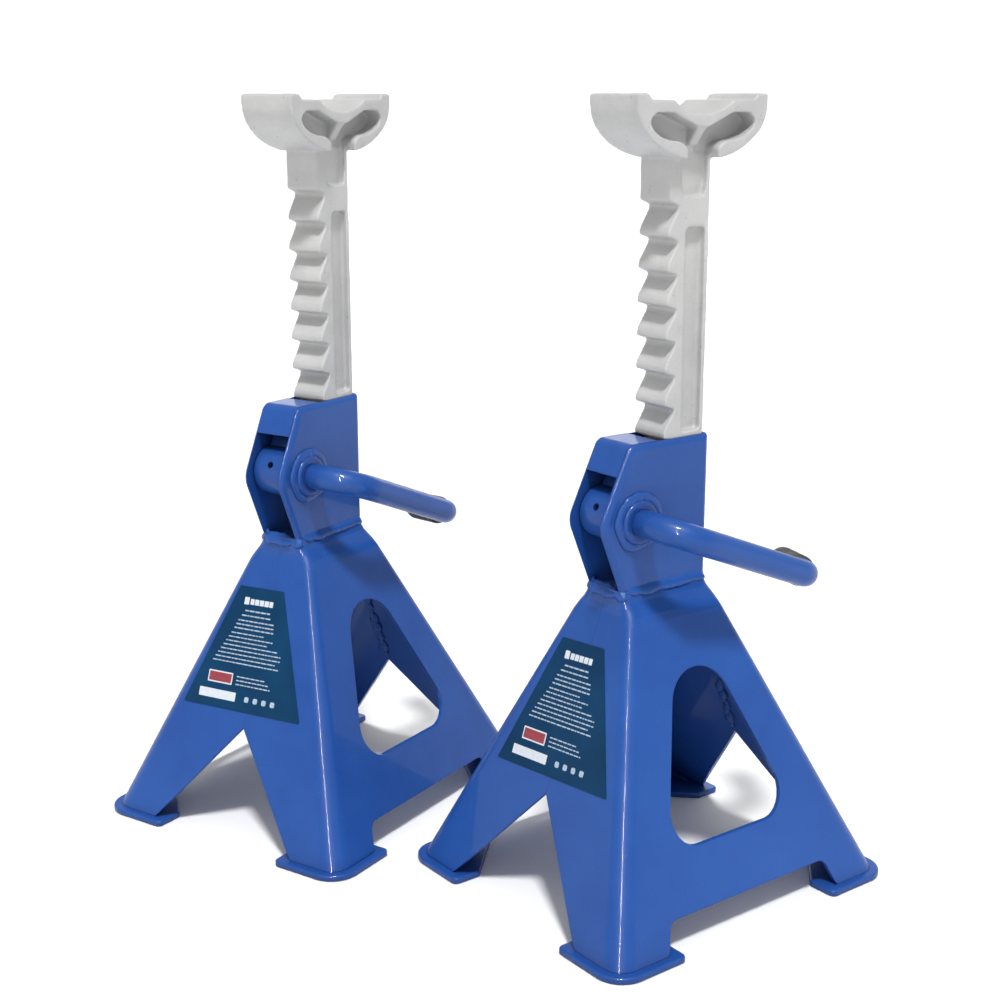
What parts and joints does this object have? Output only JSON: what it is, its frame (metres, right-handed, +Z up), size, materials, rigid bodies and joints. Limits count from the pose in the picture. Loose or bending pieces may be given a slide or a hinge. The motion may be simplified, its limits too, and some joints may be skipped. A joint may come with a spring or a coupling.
{
  "type": "axle jack stands",
  "caption": "Pair of ratchet axle stands: pressed pyramid base on foot pads, toothed lifting column with a forked saddle, pawl worked by a bent lever.",
  "frame": {"origin": "on the floor, under the middle of the pair's bounding box, with both columns raised", "axes": "+Z up; +X from the toothed front of the first stand's column towards its back; +Y away from the side its lever is on"},
  "size_m": [0.314, 0.4082, 0.4227],
  "materials": {
    "blue_paint": "semi-gloss powder coat over pressed and welded steel",
    "grey_casting": "light grey paint over a ductile iron casting",
    "black_rubber": "ribbed matt rubber",
    "dark_label": "satin printed film with no wording",
    "dark_pin": "oiled spring steel"
  },
  "bodies": {
    "stand_a": {"near_pressing_a": "blue_paint", "far_pressing_a": "blue_paint", "foot_pad_front_near_a": "blue_paint", "foot_pad_back_near_a": "blue_paint", "foot_pad_front_far_a": "blue_paint", "foot_pad_back_far_a": "blue_paint", "head_bracket_a": "blue_paint", "head_strap_a": "blue_paint", "near_pivot_bush_a": "blue_paint", "far_pivot_bush_a": "blue_paint", "label_plate_a": "dark_label"},
    "column_a": {"ratchet_column_a": "grey_casting"},
    "lever_a": {"lever_bar_a": "blue_paint", "lever_grip_a": "black_rubber", "pawl_a": "blue_paint", "pawl_roll_pin_a": "dark_pin"},
    "stand_b": {"near_pressing_b": "blue_paint", "far_pressing_b": "blue_paint", "foot_pad_front_near_b": "blue_paint", "foot_pad_back_near_b": "blue_paint", "foot_pad_front_far_b": "blue_paint", "foot_pad_back_far_b": "blue_paint", "head_bracket_b": "blue_paint", "head_strap_b": "blue_paint", "near_pivot_bush_b": "blue_paint", "far_pivot_bush_b": "blue_paint", "label_plate_b": "dark_label"},
    "column_b": {"ratchet_column_b": "grey_casting"},
    "lever_b": {"lever_bar_b": "blue_paint", "lever_grip_b": "black_rubber", "pawl_b": "blue_paint", "pawl_roll_pin_b": "dark_pin"}
  },
  "joints": [
    {"name": "column_lift_a", "type": "slide", "parent": "stand_a", "child": "column_a", "axis": [0, 0, 1], "range_m": [-0.1392, 0]},
    {"name": "lever_pivot_a", "type": "hinge", "parent": "stand_a", "child": "lever_a", "pos_m": [0.0295, -0.1129, 0.2073], "axis": [0, -1, 0], "range_deg": [-16, 24]},
    {"name": "column_lift_b", "type": "slide", "parent": "stand_b", "child": "column_b", "axis": [0, 0, 1], "range_m": [-0.1392, 0]},
    {"name": "lever_pivot_b", "type": "hinge", "parent": "stand_b", "child": "lever_b", "pos_m": [-0.05834, 0.08006, 0.2073], "axis": [0.3404, -0.9403, 0], "range_deg": [-16, 24]},
    {"name": "stand_b_place", "type": "slide", "parent": "stand_a", "child": "stand_b", "axis": [-0.4055, 0.9141, 0], "range_m": [0, 0.3]}
  ]
}
